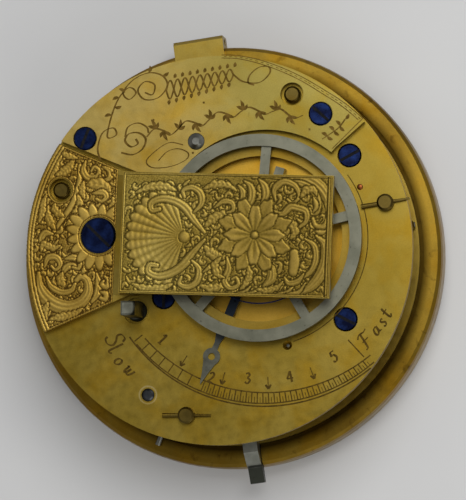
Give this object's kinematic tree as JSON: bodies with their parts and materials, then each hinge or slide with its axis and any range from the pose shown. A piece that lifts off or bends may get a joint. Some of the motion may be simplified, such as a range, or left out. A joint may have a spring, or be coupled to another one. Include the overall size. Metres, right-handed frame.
{
  "type": "verge watch movement",
  "caption": "Full-plate verge pocket watch movement with fusee and chain, ring balance, plain broad cock, regulator with scale, pillar frame and brass edge.",
  "frame": {"origin": "centre of the plates, in the plane of the brass edge's lower face, the dial seat", "axes": "+Z from the dial side to the balance side, +Y towards twelve o'clock and the hinge lug, +X to the right seen from the balance side"},
  "size_m": [0.0428, 0.0455, 0.0164],
  "materials": {
    "gilt_brass": "matt fire-gilt",
    "brass": "fine-turned",
    "polished_steel": "flat polished",
    "grey_steel": "fine grey",
    "blued_steel": "blued, polished",
    "spring_steel": "blued spring",
    "dark_steel": "dark"
  },
  "bodies": {
    "frame": {"pillar_plate": "gilt_brass", "brass_edge": "gilt_brass", "edge_pins": "grey_steel", "hinge_lug": "gilt_brass", "pillars": "gilt_brass", "pillar_pins": "grey_steel", "top_plate": "gilt_brass", "barrel_bridge": "gilt_brass", "bridge_screws": "blued_steel", "balance_cock": "gilt_brass", "cock_screw": "blued_steel", "potence_screws": "blued_steel", "regulator_cap": "gilt_brass", "cap_screws": "grey_steel", "hairspring_stud": "polished_steel", "potence": "gilt_brass", "counter_potence": "gilt_brass", "escape_plug": "brass", "barrel_arbor": "grey_steel", "setup_ratchet": "grey_steel", "setup_click": "grey_steel", "setup_click_screw": "blued_steel", "fusee_chain": "dark_steel", "stop_block": "gilt_brass", "stop_stud": "dark_steel", "stop_spring": "spring_steel", "minute_post": "grey_steel", "bolt_screw": "grey_steel", "bolt_spring": "spring_steel"},
    "regulator": {"regulator_lever": "polished_steel"},
    "balance": {"balance_wheel": "polished_steel", "verge_staff": "grey_steel", "balance_collet": "brass", "hairspring": "spring_steel"},
    "barrel": {"mainspring_barrel": "brass", "barrel_cover": "brass", "mainspring": "spring_steel"},
    "fusee": {"fusee_cone": "brass", "fusee_arbor": "grey_steel", "great_wheel": "brass", "fusee_ratchet": "brass", "fusee_click": "grey_steel", "click_spring": "spring_steel", "fusee_cap": "grey_steel"},
    "centre": {"centre_arbor": "grey_steel", "centre_wheel": "brass", "cannon_pinion": "grey_steel"},
    "third": {"third_arbor": "grey_steel", "third_wheel": "brass"},
    "contrate": {"contrate_arbor": "grey_steel", "contrate_wheel": "brass"},
    "escape": {"escape_arbor": "grey_steel", "crown_wheel": "brass"},
    "minute": {"minute_wheel": "brass"},
    "hour": {"hour_wheel": "brass"},
    "stop": {"stop_iron": "grey_steel"},
    "bolt": {"case_bolt": "grey_steel"}
  },
  "joints": [
    {"name": "contrate_turn", "type": "hinge", "parent": "frame", "child": "contrate", "pos_m": [0.00558, -0.01036, 0.005], "axis": [0, 0, 1], "continuous": true},
    {"name": "escape_turn", "type": "hinge", "parent": "frame", "child": "escape", "pos_m": [0.00437, 0.00037, 0.0083], "axis": [0.0516, -0.9987, 0], "continuous": true},
    {"name": "third_turn", "type": "hinge", "parent": "frame", "child": "third", "pos_m": [0.00578, -0.00524, 0.005], "axis": [0, 0, 1], "continuous": true},
    {"name": "centre_turn", "type": "hinge", "parent": "frame", "child": "centre", "pos_m": [0, 0, 0.004], "axis": [0, 0, 1], "continuous": true},
    {"name": "fusee_turn", "type": "hinge", "parent": "frame", "child": "fusee", "pos_m": [-0.00892, -0.00482, 0.005], "axis": [0, 0, 1], "continuous": true},
    {"name": "barrel_turn", "type": "hinge", "parent": "frame", "child": "barrel", "pos_m": [-0.00057, 0.01082, 0.005], "axis": [0, 0, 1], "continuous": true},
    {"name": "minute_turn", "type": "hinge", "parent": "frame", "child": "minute", "pos_m": [0.0039, -0.00225, 0.002], "axis": [0, 0, 1], "continuous": true},
    {"name": "hour_turn", "type": "hinge", "parent": "frame", "child": "hour", "pos_m": [0, 0, 0.001], "axis": [0, 0, 1], "continuous": true},
    {"name": "balance_swing", "type": "hinge", "parent": "frame", "child": "balance", "pos_m": [0.00437, 0.00037, 0.0133], "axis": [0, 0, 1], "range_deg": [-100, 100], "stiffness_Nm_per_rad": 0.0000075, "deforming": ["hairspring"]},
    {"name": "regulator_turn", "type": "hinge", "parent": "frame", "child": "regulator", "pos_m": [0.00437, 0.00037, 0.0123], "axis": [0, 0, 1], "range_deg": [-30, 66]},
    {"name": "stop_lift", "type": "hinge", "parent": "frame", "child": "stop", "pos_m": [-0.00941, -0.01184, 0.01005], "axis": [0.9198, 0.3924, 0], "range_deg": [0, 3], "stiffness_Nm_per_rad": 0.000005, "springref_deg": -28.65},
    {"name": "bolt_slide", "type": "slide", "parent": "frame", "child": "bolt", "axis": [0, 1, 0], "range_m": [0, 0.0012], "stiffness_N_per_m": 20, "springref_m": -0.003, "deforming": ["bolt_spring"]}
  ],
  "couplings": [
    {"joint": "escape_turn", "follows": "contrate_turn", "ratio": 8},
    {"joint": "third_turn", "follows": "contrate_turn", "ratio": -0.125},
    {"joint": "centre_turn", "follows": "contrate_turn", "ratio": 0.013889},
    {"joint": "fusee_turn", "follows": "contrate_turn", "ratio": -0.0034722},
    {"joint": "barrel_turn", "follows": "contrate_turn", "ratio": -0.0018267},
    {"joint": "minute_turn", "follows": "contrate_turn", "ratio": -0.0034722},
    {"joint": "hour_turn", "follows": "contrate_turn", "ratio": 0.0011574}
  ]
}
